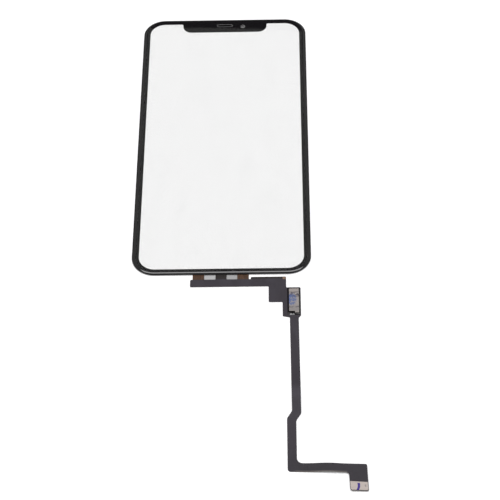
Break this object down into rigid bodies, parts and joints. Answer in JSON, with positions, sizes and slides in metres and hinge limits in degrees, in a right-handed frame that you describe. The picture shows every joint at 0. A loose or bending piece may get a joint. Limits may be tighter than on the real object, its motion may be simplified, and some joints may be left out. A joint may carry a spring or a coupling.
{
  "type": "phone touch screen glass with flexible circuit",
  "caption": "Clear notched touch screen glass with a black printed border and a long flexible circuit to a board connector.",
  "frame": {"origin": "middle of the panel's back face, which lies on the surface that the part rests on", "axes": "+Y along the panel towards the earpiece slot, +Z out of the glass, and the circuit leaves the -Y end"},
  "size_m": [0.085, 0.2376, 0.001],
  "materials": {
    "glass": "clear chemically strengthened glass, polished, with a curved rim",
    "print": "glossy black print on the back of the glass",
    "mesh": "black-coated etched steel mesh",
    "cloth": "fine black acoustic cloth",
    "foam": "dark closed-cell foam",
    "ring_plastic": "matte black moulded plastic",
    "clear_adhesive": "clear optical adhesive",
    "clear_film": "clear film with invisible electrodes",
    "polyimide": "amber polyimide film with buried copper",
    "cover_film": "satin black cover film",
    "copper": "copper traces",
    "plated_copper": "plated bare copper",
    "steel": "rolled stainless steel",
    "solder": "solder",
    "chip_resin": "black moulded chip package",
    "capacitor_ceramic": "tan ceramic with tinned ends",
    "black_tape": "black insulating tape",
    "label_film": "silver-grey label, unprinted or with plain marks",
    "connector_plastic": "black moulded connector plastic",
    "contact_metal": "gold-plated contacts",
    "anchor_metal": "tinned straps"
  },
  "bodies": {
    "root": {"cover_glass": "glass", "ink_border": "print", "earpiece_mesh": "mesh", "acoustic_cloth": "cloth", "earpiece_gasket": "foam", "camera_ring": "ring_plastic", "optical_adhesive": "clear_adhesive", "sensor_film": "clear_film", "flex_base": "polyimide", "flex_cover": "cover_film", "flex_back_cover": "cover_film", "left_tail_traces": "copper", "right_tail_traces": "copper", "ground_pad": "plated_copper", "land_stiffener": "steel", "solder_balls": "solder", "touch_controller": "chip_resin", "memory_chip": "chip_resin", "capacitors": "capacitor_ceramic", "chip_tape": "black_tape", "chip_label": "label_film", "connector_housing": "connector_plastic", "connector_contacts": "contact_metal", "connector_anchors": "anchor_metal", "pad_stiffener": "steel"}
  },
  "joints": []
}
